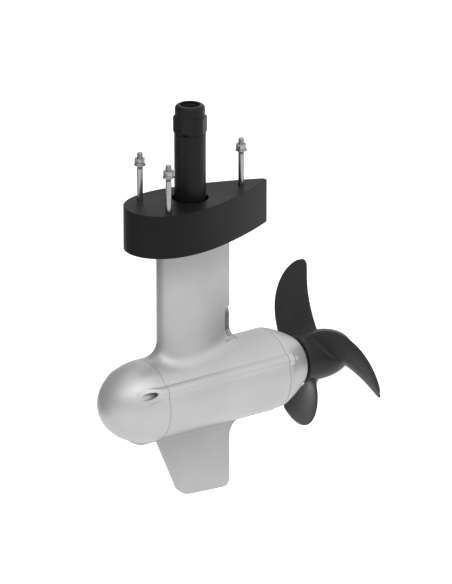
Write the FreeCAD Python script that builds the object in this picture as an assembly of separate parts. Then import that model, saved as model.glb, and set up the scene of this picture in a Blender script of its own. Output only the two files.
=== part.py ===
import FreeCAD, Part
import math
import os

# Electric pod drive for a small boat: hull spacer, strut with skeg, motor pod
# and three blade propeller. Millimetres. The cable tube is the Z axis, the
# spacer's upper face is Z = 0 and the propeller is aft, towards +X.

V = FreeCAD.Vector
os.makedirs("parts", exist_ok=True)

# motor pod
axis_z = -274.3
pod_r = 56.5
pod_wall = 9.5
front_seam_x = -74.5
rear_seam_x = 128.5
nose_length = 71.0
nose_wall = 8.0
spigot_depth = 9.0
spigot_gap = 0.2
seam_line_w = 0.5
seam_line_d = 0.4
tail_end_x = 177.0
tail_end_r = 28.0
tail_curve = ((0.0, 1.0), (0.08, 0.987), (0.29, 0.855), (0.58, 0.607), (0.78, 0.407), (0.91, 0.257),
              (0.975, 0.13), (1.0, 0.0))

# spacer block and the flange of the casting inside it
spacer_h = 60.0
spacer_nose_x = -99.6
spacer_tail_x = 126.5
spacer_chord = 231.0
spacer_width = 105.0
spacer_edge = 0.8
flange_t = 14.0
flange_inset = 9.0
flange_gap = 0.25
tube_opening_r = 25.0

# strut and skeg
strut_nose_x = -51.8
strut_tail_x = 62.5
strut_chord = 125.0
strut_width = 52.0
strut_root_blend = 24.0
strut_tail_round = 3.0
skeg_nose_x = -57.0
skeg_tail_x = 63.5
skeg_bottom_z = -428.0
skeg_root_t = 11.0
skeg_tip_t = 7.0

# ribs that carry the cap screws: two on the sides, one below
rib_angles = (29.0, 151.0, 270.0)
keel_angle = 270.0
rib_r = 11.3
rib_centre_r = pod_r - 8.3
keel_rib_r = 9.0
keel_rib_centre_r = pod_r - 2.5
screw_circle_r = pod_r - 3.5
rib_run = 42.0
keel_rib_run = 33.0
cap_screw_r = 2.5
cap_screw_hole_r = 2.8
cap_thread_gap = 0.05
cap_head_r = 4.25
cap_head_h = 5.0
cap_head_hole_r = 4.8
cap_socket_af = 4.0
nose_seat_x = -86.5
tail_seat_x = 137.0
cap_thread_len = 18.0

# hull studs
stud_r = 4.0
stud_thread_r = 3.6
stud_gap = 0.1
washer_gap = 0.2
stud_positions = ((-59.5, 32.3), (-59.5, -32.3), (85.5, 0.0))
stud_hole_r = 4.6
washer_z = 49.0
washer_r = 8.0
washer_h = 1.6
spring_washer_r = 7.0
spring_washer_h = 2.0
nut_af = 13.0
nut_h = 6.5
stud_tip_z = 66.5

# cable tube and gland
tube_r = 21.35
tube_bore_r = 16.0
tube_top_z = 91.6
tube_foot_z = -92.0
tube_ring_z = -76.0
tube_gap = 0.06
gland_hex_af = 42.5
gland_corner_r = 22.8
gland_hex_top_z = 116.0
gland_spigot_r = 18.0
gland_spigot_len = 14.0
gland_neck_r = 17.4
gland_neck_len = 10.0
gland_bore_r = 14.2
dome_r = 20.3
dome_top_z = 131.0
dome_shoulder = 5.0
dome_opening_r = 13.4
gland_seal_bore_r = 13.0

# bulkhead and bearings
bulkhead_front_x = -14.0
bulkhead_rear_x = 0.0
bearing_gap = 0.03
front_bearing = {"x": -12.0, "width": 12.0, "bore": 10.0, "outer": 21.0,
                 "pitch": 15.5, "ball": 3.175, "count": 9}
rear_bearing = {"x": 127.0, "width": 15.0, "bore": 12.5, "outer": 26.0,
                "pitch": 19.25, "ball": 3.97, "count": 9}
seal_r = 20.0
seal_w = 7.0
seal_x = 144.0

# motor
stator_x = 14.0
stator_len = 80.0
stator_bore_r = pod_r - 25.0
stator_stop = 3.5
stator_gap = 0.04
slot_count = 12
slot_w = 9.0
slot_bottom_r = pod_r - 16.7
slot_top_r = pod_r - 23.0
slot_mouth_w = 3.0
winding_gap = 0.25
end_turn_len = 10.0
rotor_x = 18.0
rotor_len = 72.0
magnet_t = 3.0
air_gap = 1.1
rotor_core_r = stator_bore_r - air_gap - magnet_t
magnet_count = 10
snap_ring_t = 1.75

# propeller shaft
shaft_front_x = -13.0
shaft_mid_r = 15.0
shaft_collar_r = 18.5
shaft_collar_len = 5.0
shaft_rear_r = 12.5
shaft_prop_r = 8.0
shaft_thread_r = 6.0
shaft_shoulder_x = 184.0
shaft_prop_end_x = 242.0
shaft_end_x = 264.0
shaft_fit = 0.05

# propeller
prop_r = 133.0
hub_front_x = 181.0
hub_front_r = 33.2
hub_r = 34.1
hub_full_x = 217.0
hub_dome_len = 56.0
hub_end_x = 268.0
hub_recess_r = 12.6
blade_count = 3
blade_base_r = 29.0
blade_root_x = 208.4
blade_root_angle = -70.0
blade_pitch = 166.0
blade_root_t = 8.5
blade_tip_t = 2.2
blade_camber = 1.6
blade_root_flare = 6.0
thrust_washer_t = 3.0
thrust_washer_r = 15.0
drive_pin_r = 3.0
drive_pin_len = 42.0
drive_pin_x = 193.0
prop_washer_t = 2.5
prop_nut_af = 19.0
prop_nut_h = 15.0
prop_nut_slot_w = 3.6
prop_nut_slot_h = 5.0
split_pin_r = 1.5

# sacrificial anode at the strut's foot
anode_front_x = 50.0
anode_end_x = 71.5
anode_h = 48.0
anode_floor_z = axis_z + pod_r + 3.8
anode_top_z = anode_floor_z + anode_h
anode_face_y = -3.5
anode_back_y = 1.0
anode_foot_y = -11.0
anode_foot_h = 2.5
anode_gap = 0.1
anode_screw_x = 59.7
anode_screw_r = 2.0
anode_screw_len = 18.0
anode_head_r = 3.2

# controller in the nose
board_x = -40.0
board_r = pod_r - 15.5
board_t = 2.0
post_r = 4.0
post_circle_r = board_r - 7.0
post_count = 3
post_hole_r = 1.7
post_screw_r = 1.5
post_thread_gap = 0.05

X = V(1, 0, 0)
Y = V(0, 1, 0)
Z = V(0, 0, 1)
CENTRE = V(0, 0, axis_z)


def save(shape, name):
    shape.removeSplitter().exportStep("parts/" + name + ".step")


def fuse(shapes):
    return shapes[0].multiFuse(shapes[1:]).removeSplitter()


def polar(radius, degrees):
    """Y and Z of a point on a circle round the pod's axis, 0 = -Y side."""
    a = math.radians(degrees)
    return -radius * math.cos(a), axis_z + radius * math.sin(a)


def rod_x(radius, x0, x1, y=0.0, z=axis_z):
    return Part.makeCylinder(radius, x1 - x0, V(x0, y, z), X)


def rod_z(radius, z0, z1, x=0.0, y=0.0):
    return Part.makeCylinder(radius, z1 - z0, V(x, y, z0), Z)


def ring_x(outer, inner, x0, x1):
    return rod_x(outer, x0, x1).cut(rod_x(inner, x0, x1))


def lathe(points, smooth=()):
    """Turn a closed outline of (x, radius) about the pod's axis. Each list in
    smooth is a run of points that are joined by one curve."""
    places = [V(x, 0, axis_z + r) for x, r in points]
    edges = []
    i = 0
    while i < len(places):
        run = next((s for s in smooth if s[0] == i), None)
        if run:
            curve = Part.BSplineCurve()
            curve.interpolate(places[run[0]:run[1] + 1])
            edges.append(curve.toShape())
            i = run[1]
        j = (i + 1) % len(places)
        if i < len(places) - 1 or places[i].distanceToPoint(places[0]) > 1e-6:
            edges.append(Part.makeLine(places[i], places[j]))
        i += 1
    face = Part.Face(Part.Wire(edges))
    return face.revolve(CENTRE, X, 360)


def turned_groove(centre_x, centre_r, minor):
    return Part.makeTorus(centre_r, minor, V(centre_x, 0, axis_z), X)


def hexagon(across_flats, direction, base, height, turn=0.0):
    corner = across_flats / 2 / math.cos(math.radians(30))
    side = Y if direction == X else X
    up = direction.cross(side)
    points = []
    for k in range(7):
        a = math.radians(60 * k + 30 + turn)
        points.append(base + side * (corner * math.cos(a)) + up * (corner * math.sin(a)))
    return Part.Face(Part.makePolygon(points)).extrude(direction * height)


def chamfered_nut(across_flats, direction, base, height, corner_cut=0.94, turn=0.0):
    """Hexagon whose corners are turned down by a cone at the far end."""
    body = hexagon(across_flats, direction, base, height, turn)
    corner = across_flats / 2 / math.cos(math.radians(30))
    drop = corner * (1 - corner_cut)
    straight = Part.makeCylinder(corner, height - drop, base, direction)
    top = Part.makeCone(corner, corner - drop * 1.6, drop, base + direction * (height - drop), direction)
    return body.common(straight.fuse(top))


def half_thickness(s, chord, width):
    """Classic low speed aerofoil, s from 0 at the nose to 1 at the tail."""
    shape = 0.2969 * math.sqrt(s) - 0.1260 * s - 0.3516 * s ** 2 + 0.2843 * s ** 3 - 0.1015 * s ** 4
    return 5 * width * shape


def foil_face(nose_x, tail_x, chord, width, z, inset=0.0):
    nose_x += inset
    tail_x -= inset
    chord -= 2 * inset
    width -= 2 * inset
    steps = 15
    last = (tail_x - nose_x) / chord
    side = []
    for k in range(steps + 1):
        s = last * (1 - math.cos(math.pi / 2 * k / steps))
        side.append((nose_x + s * chord, half_thickness(s, chord, width)))
    points = [V(x, y, z) for x, y in reversed(side)]
    points += [V(x, -y, z) for x, y in side[1:]]
    curve = Part.BSplineCurve()
    curve.interpolate(points)
    return Part.Face(Part.Wire([curve.toShape(), Part.makeLine(points[-1], points[0])]))


def tail_corners(shape, tail_x):
    """Upright edges at the blunt tail of an aerofoil body."""
    found = []
    for edge in shape.Edges:
        box = edge.BoundBox
        if box.XMin > tail_x - 0.5 and box.XLength < 0.1 and box.ZLength > 5 and box.YLength < 0.1:
            found.append(edge)
    return found


def make_spacer():
    face = foil_face(spacer_nose_x, spacer_tail_x, spacer_chord, spacer_width, -spacer_h)
    block = face.extrude(V(0, 0, spacer_h))
    block = block.makeFillet(2.0, tail_corners(block, spacer_tail_x))
    rim = [e for e in block.Edges if e.BoundBox.ZMin > -0.01]
    block = block.makeFillet(spacer_edge, rim)
    recess = foil_face(spacer_nose_x, spacer_tail_x, spacer_chord, spacer_width,
                       -spacer_h, flange_inset)
    block = block.cut(recess.extrude(V(0, 0, flange_t)))
    block = block.cut(rod_z(tube_opening_r, -spacer_h, 1))
    for x, y in stud_positions:
        block = block.cut(rod_z(stud_hole_r, -spacer_h, 1, x, y))
    return block


def rib_shape(angle, x0, x1, inset=0.0):
    if angle == keel_angle:
        y, z = polar(keel_rib_centre_r, angle)
        return rod_x(keel_rib_r - inset, x0, x1, y, z)
    y, z = polar(rib_centre_r, angle)
    return rod_x(rib_r - inset, x0, x1, y, z)


def seam_line(seam_x):
    """Fine groove all round, ribs too, where the rim of a cap and the barrel are eased."""
    x0 = seam_x - seam_line_w / 2
    x1 = seam_x + seam_line_w / 2
    core = [rod_x(pod_r - seam_line_d, x0 - 1, x1 + 1)]
    core += [rib_shape(a, x0 - 1, x1 + 1, seam_line_d) for a in rib_angles]
    return rod_x(1.5 * pod_r, x0, x1).cut(fuse(core))


def make_skeg():
    """Fin below the pod: rounded nose, thinner towards the tip."""
    top = axis_z - pod_r / 2
    outline = [V(skeg_nose_x - 18, 0, top), V(skeg_nose_x, 0, axis_z - pod_r - 6),
               V(-27.0, 0, skeg_bottom_z + 21), V(-3.6, 0, skeg_bottom_z + 1.5),
               V(skeg_tail_x - 10.0, 0, skeg_bottom_z - 2.2), V(skeg_tail_x, 0, skeg_bottom_z + 7.5),
               V(skeg_tail_x, 0, axis_z - pod_r - 27), V(skeg_tail_x + 12.0, 0, axis_z - pod_r - 6),
               V(skeg_tail_x + 18.0, 0, top)]
    edges = [Part.makeLine(outline[0], outline[1]), Part.makeLine(outline[1], outline[2]),
             Part.Arc(outline[2], V(-17.5, 0, skeg_bottom_z + 6.2), outline[3]).toShape(),
             Part.makeLine(outline[3], outline[4]),
             Part.Arc(outline[4], V(skeg_tail_x - 2.6, 0, skeg_bottom_z + 0.6), outline[5]).toShape(),
             Part.makeLine(outline[5], outline[6]),
             Part.Arc(outline[6], V(skeg_tail_x + 3.4, 0, axis_z - pod_r - 13.8), outline[7]).toShape(),
             Part.makeLine(outline[7], outline[8]), Part.makeLine(outline[8], outline[0])]
    profile = Part.Face(Part.Wire(edges))
    slab = profile.extrude(V(0, 4 * skeg_root_t, 0))
    slab.translate(V(0, -2 * skeg_root_t, 0))
    # the cross section: blunt rounded nose and a narrower tail, tapered downwards
    wires = []
    for z, t in ((top, skeg_root_t + 1.6), (skeg_bottom_z - 6, skeg_tip_t)):
        lean = (top - z) / (top - skeg_bottom_z) * 44.0
        nose = skeg_nose_x - 22 + lean
        tail = skeg_tail_x + 20
        a = [V(tail, t * 0.30, z), V((nose + tail) / 2, t * 0.5, z), V(nose + 24, t * 0.49, z),
             V(nose + 8, t * 0.36, z), V(nose, 0, z)]
        points = a + [V(p.x, -p.y, p.z) for p in reversed(a[:-1])]
        curve = Part.BSplineCurve()
        curve.interpolate(points)
        wires.append(Part.Wire([curve.toShape(), Part.makeLine(points[-1], points[0])]))
    body = Part.makeLoft(wires, True, True)
    return body.common(slab)


def make_strut():
    low = axis_z + 20
    face = foil_face(strut_nose_x, strut_tail_x, strut_chord, strut_width, low)
    body = face.extrude(V(0, 0, flange_t / 2 - spacer_h - low))
    return body.makeFillet(strut_tail_round, tail_corners(body, strut_tail_x))


def make_strut_on_barrel():
    """Strut and barrel, joined all round by a hollow blend."""
    ahead = 40.0
    barrel = rod_x(pod_r, front_seam_x - ahead, rear_seam_x)
    barrel.rotate(CENTRE, X, 180)
    body = barrel.fuse(make_strut())
    joint = []
    for edge in body.Edges:
        box = edge.BoundBox
        if box.ZMax < axis_z + pod_r + 1 and box.ZMin > axis_z + 20 and box.XMax < strut_tail_x + 8:
            joint.append(edge)
    body = body.makeFillet(strut_root_blend, joint)
    return body.cut(rod_x(2 * pod_r, front_seam_x - ahead - 1, front_seam_x))


def cable_way():
    """Socket for the tube, then a passage forward and down to the nose room."""
    way = rod_z(tube_r + tube_gap, tube_foot_z, 0)
    way = way.fuse(rod_z(tube_bore_r, tube_foot_z - 22, tube_foot_z + 1))
    front, rear, half = -31.0, -26.0, 9.0
    low = axis_z + 30
    high = tube_foot_z - 8
    slot = rod_z(half, low, high, front).fuse(rod_z(half, low, high, rear))
    slot = slot.fuse(Part.makeBox(rear - front, 2 * half, high - low, V(front, -half, low)))
    link = Part.makeBox(-rear, 2 * half, 14, V(rear, -half, tube_foot_z - 22))
    return way.fuse([slot, link])


def anode_room(gap=0.0):
    """Notch in the strut's tail above the pod, open to one side and aft."""
    x0 = anode_front_x + gap
    height = anode_top_z - gap - anode_floor_z
    return Part.makeBox(60, 60, height, V(x0, anode_back_y - 60, anode_floor_z))


def make_housing():
    body = make_strut_on_barrel().cut(anode_room())
    flange = foil_face(spacer_nose_x, spacer_tail_x, spacer_chord, spacer_width,
                       -spacer_h, flange_inset + flange_gap)
    parts = [flange.extrude(V(0, 0, flange_t)), make_skeg()]
    parts += [rib_shape(a, front_seam_x, rear_seam_x) for a in rib_angles]
    body = body.fuse(parts).removeSplitter()
    # rooms for the controller and the motor, with a bulkhead between them
    inner_r = pod_r - pod_wall
    body = body.cut(rod_x(inner_r, front_seam_x - 1, bulkhead_front_x))
    body = body.cut(rod_x(inner_r, stator_x, rear_seam_x + 1))
    body = body.cut(rod_x(inner_r - stator_stop, bulkhead_rear_x, stator_x + 1))
    seat_x = front_bearing["x"]
    body = body.cut(rod_x(front_bearing["outer"] + bearing_gap, seat_x, bulkhead_rear_x + 1))
    body = body.cut(rod_x(front_bearing["outer"] - 3.5, bulkhead_front_x - 1, seat_x + 1))
    snap_x = stator_x + stator_len
    body = body.cut(rod_x(inner_r + 1.5, snap_x, snap_x + snap_ring_t + 0.05))
    body = body.cut(cable_way()).cut(seam_line(front_seam_x)).cut(seam_line(rear_seam_x))
    for x, y in stud_positions:
        body = body.cut(rod_z(stud_thread_r + stud_gap, -spacer_h - 1, 0, x, y))
    for angle in rib_angles:
        y, z = polar(screw_circle_r, angle)
        thread_r = cap_screw_r + cap_thread_gap
        body = body.cut(rod_x(thread_r, front_seam_x - 1, front_seam_x + cap_thread_len, y, z))
        body = body.cut(rod_x(thread_r, rear_seam_x - cap_thread_len, rear_seam_x + 1, y, z))
    for y, z in post_places():
        thread_r = post_screw_r + post_thread_gap
        body = body.cut(rod_x(thread_r, bulkhead_front_x - 1, bulkhead_front_x + 9, y, z))
    hole_r = anode_screw_r + 0.05
    axis = anode_axis()
    reach = anode_screw_len + 1
    return body.cut(Part.makeCylinder(hole_r, reach, anode_screw_seat() - axis * reach, axis))


def dome(length, radius, skirt=0.0):
    """Half ellipsoid ahead of the front seam, turned about the pod's axis, with
    a straight stretch behind the seam where skirt gives one."""
    seam = V(front_seam_x, 0, axis_z)
    tip = V(front_seam_x - length, 0, axis_z)
    rim = V(front_seam_x, 0, axis_z + radius)
    if length > radius:
        curve = Part.Ellipse(tip, rim, seam)
    else:
        curve = Part.Ellipse(rim, tip, seam)
    arc = Part.ArcOfEllipse(curve, 0, math.pi / 2).toShape()
    edges = [arc]
    if skirt:
        edges.append(Part.makeLine(rim, rim + X * skirt))
    back = seam + X * skirt
    edges += [Part.makeLine(rim + X * skirt, back), Part.makeLine(back, tip)]
    return Part.Face(Part.Wire(edges)).revolve(CENTRE, X, 360)


def rib_dome(top_r, run):
    """Dome that a rib follows: it leaves the seam at top_r and sinks into the
    nose at a distance run ahead of it."""
    nose_r = pod_r * math.sqrt(1 - (run / nose_length) ** 2)
    return dome(run / math.sqrt(1 - (nose_r / top_r) ** 2), top_r)


def make_nose():
    body = dome(nose_length, pod_r)
    side = rib_dome(rib_centre_r + rib_r, rib_run)
    keel = rib_dome(keel_rib_centre_r + keel_rib_r, keel_rib_run)
    for angle in rib_angles:
        follow = keel if angle == keel_angle else side
        body = body.fuse(rib_shape(angle, front_seam_x - nose_length, front_seam_x).common(follow))
    body = body.removeSplitter()
    spigot_r = pod_r - pod_wall - spigot_gap
    body = body.fuse(rod_x(spigot_r, front_seam_x - 1, front_seam_x + spigot_depth))
    inner_r = spigot_r - 5.0
    body = body.cut(dome(nose_length - nose_wall, inner_r, spigot_depth + 1))
    body = body.cut(turned_ring_groove(front_seam_x + 4.5, spigot_r)).cut(seam_line(front_seam_x))
    for angle in rib_angles:
        y, z = polar(screw_circle_r, angle)
        body = body.cut(rod_x(cap_screw_hole_r, nose_seat_x - 1, front_seam_x + 1, y, z))
        body = body.cut(rod_x(cap_head_hole_r, front_seam_x - nose_length, nose_seat_x, y, z))
    return body


def turned_ring_groove(x, outer_r, width=3.0, depth=2.2):
    return ring_x(outer_r + 1, outer_r - depth, x - width / 2, x + width / 2)


def make_tail():
    spigot_r = pod_r - pod_wall - spigot_gap
    start = rear_seam_x
    outline = []
    for along, wide in tail_curve:
        outline.append((start + (tail_end_x - start) * along, tail_end_r + (pod_r - tail_end_r) * wide))
    body = lathe([(start, 0.0)] + outline + [(tail_end_x, 0.0)], [(1, len(outline))])
    for angle in rib_angles:
        body = body.fuse(rib_shape(angle, start, tail_seat_x))
    body = body.removeSplitter()
    body = body.fuse(rod_x(spigot_r, start - spigot_depth, start + 1))
    b = rear_bearing
    body = body.cut(turned_ring_groove(start - 4.5, spigot_r)).cut(seam_line(start))
    body = body.cut(rod_x(b["outer"] + bearing_gap, start - spigot_depth - 1, b["x"] + b["width"]))
    body = body.cut(rod_x(seal_r - 3.0, start, seal_x))
    body = body.cut(rod_x(seal_r + 0.03, seal_x, seal_x + 2 * seal_w + 1.2))
    body = body.cut(rod_x(shaft_rear_r + 0.7, seal_x, tail_end_x + 1))
    # lightening hollow round the bearing seat, open to the motor room
    room = ring_x(spigot_r - 5.5, b["outer"] + 4.0, start - spigot_depth - 1, start + 6.0)
    body = body.cut(room)
    for angle in rib_angles:
        y, z = polar(screw_circle_r, angle)
        body = body.cut(rod_x(cap_screw_hole_r, start - 1, tail_seat_x + 1, y, z))
        body = body.cut(rod_x(cap_head_hole_r, tail_seat_x, tail_end_x, y, z))
    return body


def cap_screws(seat_x, forward):
    """One set of socket head screws. forward is -1 for the nose, 1 for the tail."""
    screws = []
    seam = front_seam_x if forward < 0 else rear_seam_x
    for angle in rib_angles:
        y, z = polar(screw_circle_r, angle)
        tip = seam - forward * (cap_thread_len - 1.5)
        ends = sorted((tip, seat_x))
        shank = rod_x(cap_screw_r, ends[0], ends[1], y, z)
        ends = sorted((seat_x, seat_x + forward * cap_head_h))
        head = rod_x(cap_head_r, ends[0], ends[1], y, z)
        edges = [e for e in head.Edges if abs(e.BoundBox.Center.x - seat_x - forward * cap_head_h) < 0.01]
        head = head.makeFillet(0.5, edges)
        socket = hexagon(cap_socket_af, X, V(seat_x + forward * (cap_head_h - 2.6), y, z), forward * 4)
        screws.append(shank.fuse(head).removeSplitter().cut(socket))
    return Part.makeCompound(screws)


def make_studs():
    studs = []
    for x, y in stud_positions:
        foot = rod_z(stud_thread_r, -spacer_h + 1, 0, x, y)
        shank = rod_z(stud_r, 0, washer_z, x, y)
        thread = rod_z(stud_thread_r, washer_z, stud_tip_z - 1, x, y)
        tip = Part.makeCone(stud_thread_r, stud_thread_r - 0.9, 1.0, V(x, y, stud_tip_z - 1), Z)
        studs.append(fuse([foot, shank, thread, tip]))
    return Part.makeCompound(studs)


def stud_rings(outer, bore, z0, height, gap=0.0):
    rings = []
    for x, y in stud_positions:
        ring = rod_z(outer, z0, z0 + height, x, y).cut(rod_z(bore, z0 - 1, z0 + height + 1, x, y))
        if gap:
            ring = ring.cut(Part.makeBox(outer, gap, height, V(x, y - gap / 2, z0)))
        rings.append(ring)
    return Part.makeCompound(rings)


def make_stud_nuts():
    nuts = []
    base = washer_z + washer_h + spring_washer_h
    for x, y in stud_positions:
        nut = chamfered_nut(nut_af, Z, V(x, y, base), nut_h, turn=12.0)
        nuts.append(nut.cut(rod_z(stud_thread_r + 0.05, base - 1, base + nut_h + 1, x, y)))
    return Part.makeCompound(nuts)


def make_tube():
    body = rod_z(tube_r, tube_foot_z, tube_top_z).cut(rod_z(tube_bore_r, tube_foot_z - 1, tube_top_z + 1))
    body = body.cut(rod_z(gland_spigot_r + 0.05, tube_top_z - gland_spigot_len - 0.5, tube_top_z + 1))
    low, high = tube_ring_z - 1.5, tube_ring_z + 1.5
    groove = rod_z(tube_r + 1, low, high).cut(rod_z(tube_r - 2.2, low, high))
    return body.cut(groove)


def make_gland_body():
    hexed = hexagon(gland_hex_af, Z, V(0, 0, tube_top_z), gland_hex_top_z - tube_top_z, 3.5)
    low = Part.makeCone(tube_r - 0.5, gland_corner_r, 3.4, V(0, 0, tube_top_z), Z)
    mid = rod_z(gland_corner_r, tube_top_z + 3.4, gland_hex_top_z - 2.0)
    high = Part.makeCone(gland_corner_r, gland_corner_r - 2.0, 2.0, V(0, 0, gland_hex_top_z - 2.0), Z)
    body = hexed.common(fuse([low, mid, high]))
    body = body.fuse(rod_z(gland_spigot_r, tube_top_z - gland_spigot_len, tube_top_z))
    body = body.fuse(rod_z(gland_neck_r, gland_hex_top_z, gland_hex_top_z + gland_neck_len))
    return body.removeSplitter().cut(rod_z(gland_bore_r, tube_top_z - 30, dome_top_z))


def make_dome_nut():
    body = rod_z(dome_r, gland_hex_top_z, dome_top_z)
    rim = [e for e in body.Edges if e.BoundBox.ZMin > dome_top_z - 0.01]
    body = body.makeFillet(dome_shoulder, rim)
    body = body.cut(rod_z(gland_neck_r + 0.06, gland_hex_top_z - 1, dome_top_z - 3.0))
    body = body.cut(rod_z(dome_opening_r, dome_top_z - 4, dome_top_z + 1))
    return body


def make_gland_seal():
    """Rubber ring squeezed between the gland's neck and the dome nut."""
    foot = gland_hex_top_z + gland_neck_len
    lower = rod_z(gland_bore_r - 0.06, foot - 7.0, foot)
    flange = rod_z(gland_neck_r - 0.2, foot, dome_top_z - 3.0)
    return lower.fuse(flange).removeSplitter().cut(rod_z(gland_seal_bore_r, foot - 8, dome_top_z))


def ring_about_z(major, minor, z):
    return Part.makeTorus(major, minor, V(0, 0, z), Z)


def bearing_race(b, outer_ring):
    shift = 0.56 * b["ball"]
    if outer_ring:
        body = ring_x(b["outer"], b["pitch"] + shift, b["x"], b["x"] + b["width"])
    else:
        body = ring_x(b["pitch"] - shift, b["bore"] + bearing_gap, b["x"], b["x"] + b["width"])
    middle = b["x"] + b["width"] / 2
    return body.cut(turned_groove(middle, b["pitch"], b["ball"] + 0.04))


def bearing_balls(b):
    middle = b["x"] + b["width"] / 2
    balls = []
    for k in range(b["count"]):
        y, z = polar(b["pitch"], 360.0 / b["count"] * k)
        balls.append(Part.makeSphere(b["ball"], V(middle, y, z)))
    return Part.makeCompound(balls)


def bearing_cage(b):
    middle = b["x"] + b["width"] / 2
    half = b["ball"] + 1.0
    cage = ring_x(b["pitch"] + 0.42 * b["ball"], b["pitch"] - 0.42 * b["ball"], middle - half, middle + half)
    for k in range(b["count"]):
        y, z = polar(b["pitch"], 360.0 / b["count"] * k)
        cage = cage.cut(Part.makeSphere(b["ball"] + 0.08, V(middle, y, z)))
    return cage


def make_seals():
    rings = []
    for k in range(2):
        x0 = seal_x + k * (seal_w + 0.6)
        body = ring_x(seal_r, shaft_rear_r + 4.0, x0, x0 + seal_w)
        lip = lathe([(x0 + 1.0, seal_r - 2.0), (x0 + 1.0, shaft_rear_r + 2.0), (x0 + 3.0, shaft_rear_r + 0.06),
                     (x0 + 4.2, shaft_rear_r + 0.06), (x0 + 5.4, shaft_rear_r + 3.0), (x0 + 3.0, seal_r - 2.0)])
        rings.append(body.cut(ring_x(seal_r - 2.0, shaft_rear_r, x0 + 3.4, x0 + seal_w + 1)).fuse(lip).removeSplitter())
    return Part.makeCompound(rings)


def make_stator_core():
    body = ring_x(pod_r - pod_wall - stator_gap, stator_bore_r, stator_x, stator_x + stator_len)
    cutters = []
    for k in range(slot_count):
        a = 360.0 / slot_count * (k + 0.5)
        slot = Part.makeBox(stator_len + 2, slot_w, slot_bottom_r - slot_top_r,
                            V(stator_x - 1, -slot_w / 2, axis_z + slot_top_r))
        mouth = Part.makeBox(stator_len + 2, slot_mouth_w, 4.0,
                             V(stator_x - 1, -slot_mouth_w / 2, axis_z + slot_top_r - 3.5))
        cutter = slot.fuse(mouth)
        cutter.rotate(CENTRE, X, a)
        cutters.append(cutter)
    return body.cut(Part.makeCompound(cutters))


def make_windings():
    """Copper in the slots, joined by a rounded bundle at each end."""
    lo = slot_top_r + winding_gap
    hi = slot_bottom_r - winding_gap
    parts = []
    for x0 in (stator_x - end_turn_len - winding_gap, stator_x + stator_len + winding_gap):
        bundle = ring_x(hi + 1.6, lo - 0.4, x0, x0 + end_turn_len)
        parts.append(bundle.makeFillet(2.2, [e for e in bundle.Edges if e.Length > 50]))
    for k in range(slot_count):
        a = 360.0 / slot_count * (k + 0.5)
        bar = Part.makeBox(stator_len + end_turn_len, slot_w - 2 * winding_gap, hi - lo,
                           V(stator_x - end_turn_len / 2, -slot_w / 2 + winding_gap, axis_z + lo))
        bar.rotate(CENTRE, X, a)
        parts.append(bar)
    return fuse(parts)


def snap_ring(outer, inner, x0, gap):
    """Retaining ring with a gap and two ears."""
    ring = ring_x(outer, inner, x0, x0 + snap_ring_t - 0.1)
    cut = Part.makeBox(snap_ring_t, gap, outer + 5, V(x0, -gap / 2, axis_z))
    return ring.cut(cut)


def make_shaft():
    f = front_bearing
    b = rear_bearing
    collar_x = rotor_x + rotor_len
    body = fuse([rod_x(f["bore"], shaft_front_x, 0.6),
                 rod_x(f["bore"] + 2.5, 0, 2.5),
                 rod_x(shaft_mid_r, 2.4, collar_x + 1),
                 rod_x(shaft_collar_r, collar_x, collar_x + shaft_collar_len),
                 rod_x(shaft_mid_r, collar_x + shaft_collar_len - 1, b["x"]),
                 rod_x(shaft_rear_r, b["x"] - 1, shaft_shoulder_x),
                 rod_x(shaft_prop_r, shaft_shoulder_x - 1, shaft_prop_end_x),
                 rod_x(shaft_thread_r, shaft_prop_end_x - 1, shaft_end_x)])
    body = body.cut(ring_x(shaft_mid_r + 1, shaft_mid_r - 1.0, rotor_x - snap_ring_t, rotor_x))
    body = body.cut(Part.makeCylinder(drive_pin_r + 0.03, 60, V(drive_pin_x, 0, axis_z - 30), Z))
    pin_x = split_pin_x()
    body = body.cut(Part.makeCylinder(split_pin_r + 0.1, 40, V(pin_x, 0, axis_z - 20), Z))
    return body


def make_rotor_core():
    body = ring_x(rotor_core_r, shaft_mid_r + 0.02, rotor_x, rotor_x + rotor_len)
    for k in range(6):
        y, z = polar((shaft_mid_r + rotor_core_r) / 2, 60 * k)
        hole_r = (rotor_core_r - shaft_mid_r) / 4
        body = body.cut(rod_x(hole_r, rotor_x - 1, rotor_x + rotor_len + 1, y, z))
    return body


def make_magnets():
    arcs = []
    width = 360.0 / magnet_count
    for k in range(magnet_count):
        ring = ring_x(rotor_core_r + 0.02 + magnet_t, rotor_core_r + 0.02, rotor_x + 1, rotor_x + rotor_len - 1)
        wedge = Part.makeCylinder(pod_r, rotor_len, V(rotor_x, 0, axis_z), X, width - 4)
        wedge.rotate(CENTRE, X, width * k)
        arcs.append(ring.common(wedge))
    return Part.makeCompound(arcs)


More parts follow.
